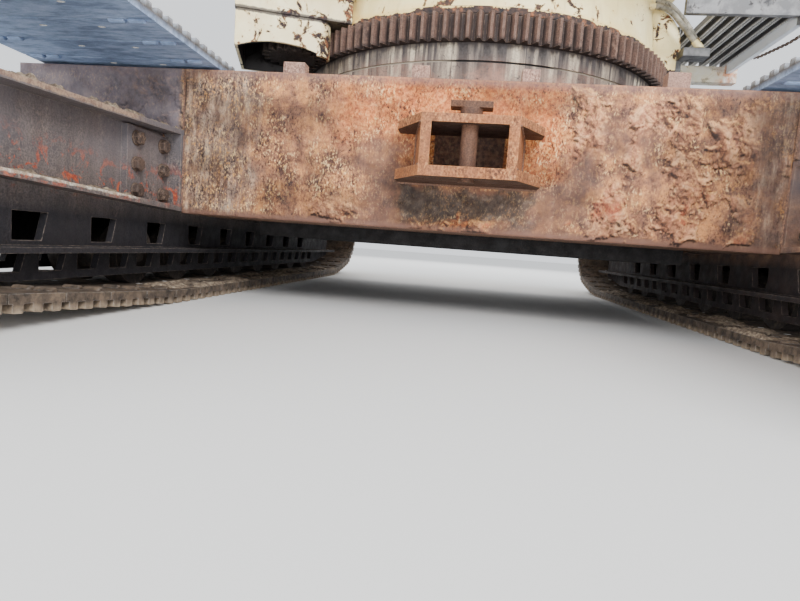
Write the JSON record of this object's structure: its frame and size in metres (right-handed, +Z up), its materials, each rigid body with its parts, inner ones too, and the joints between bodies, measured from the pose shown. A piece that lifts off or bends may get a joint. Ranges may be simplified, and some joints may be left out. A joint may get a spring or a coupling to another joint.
{
  "type": "crawler undercarriage with slewing bed",
  "caption": "Crawler undercarriage of a drilling machine: two tracks, welded cross beams, towing box, toothed slewing ring and the revolving bed with its swing pinion.",
  "frame": {"origin": "on the ground midway between the tracks' ends and midway between the tracks; the slewing axis stands 0.42 m behind it", "axes": "+X to the right seen from the towing box's end, +Y along the tracks away from the towing box, +Z up"},
  "size_m": [3.86, 4.7996, 2.15],
  "materials": {
    "rusty_steel": "rusted and scaled",
    "track_steel": "dirty, worn",
    "cast_wheel": "greasy, dusty",
    "gear_steel": "brown rust",
    "cream_paint": "chipped paint over rust",
    "galvanised": "dull, weathered",
    "hose_rubber": "dusty"
  },
  "bodies": {
    "undercarriage": {"front_beam": "rusty_steel", "rear_beam": "rusty_steel", "centre_box": "rusty_steel", "pedestal_drum": "rusty_steel", "ring_gear": "gear_steel", "centre_swivel": "rusty_steel", "tow_box": "rusty_steel", "tow_pin": "rusty_steel", "front_beam_lugs": "rusty_steel", "rear_beam_lugs": "rusty_steel", "track_left": "track_steel", "side_frame_left": "rusty_steel", "track_rollers_left": "cast_wheel", "carrier_rollers_left": "cast_wheel", "idler_left": "cast_wheel", "drive_tumbler_left": "cast_wheel", "axle_caps_left": "rusty_steel", "final_drive_left": "rusty_steel", "travel_motor_left": "rusty_steel", "track_right": "track_steel", "side_frame_right": "rusty_steel", "track_rollers_right": "cast_wheel", "carrier_rollers_right": "cast_wheel", "idler_right": "cast_wheel", "drive_tumbler_right": "cast_wheel", "axle_caps_right": "rusty_steel", "final_drive_right": "rusty_steel", "travel_motor_right": "rusty_steel"},
    "revolving_bed": {"race_skirt": "cream_paint", "bed_plate": "cream_paint", "swing_guard": "cream_paint", "swing_gearbox": "cream_paint", "swing_motor": "cream_paint", "walkway_rails": "cream_paint", "walkway_planks": "galvanised", "bed_cross_front": "cream_paint", "bed_cross_middle": "cream_paint", "bed_cross_rear": "cream_paint", "hydraulic_hoses": "hose_rubber", "walkway_chain": "galvanised", "bed_girder_left": "cream_paint", "mast_foot_left": "cream_paint", "bed_girder_right": "cream_paint", "mast_foot_right": "cream_paint"},
    "swing_pinion": {"swing_pinion": "gear_steel"}
  },
  "joints": [
    {"name": "slew", "type": "hinge", "parent": "undercarriage", "child": "revolving_bed", "pos_m": [0, 0.42, 1.2433], "axis": [0, 0, 1], "continuous": true},
    {"name": "pinion_spin", "type": "hinge", "parent": "revolving_bed", "child": "swing_pinion", "pos_m": [-0.87841, -0.27079, 1.19], "axis": [0, 0, 1], "continuous": true}
  ],
  "couplings": [
    {"joint": "pinion_spin", "follows": "slew", "ratio": 7.7647}
  ]
}
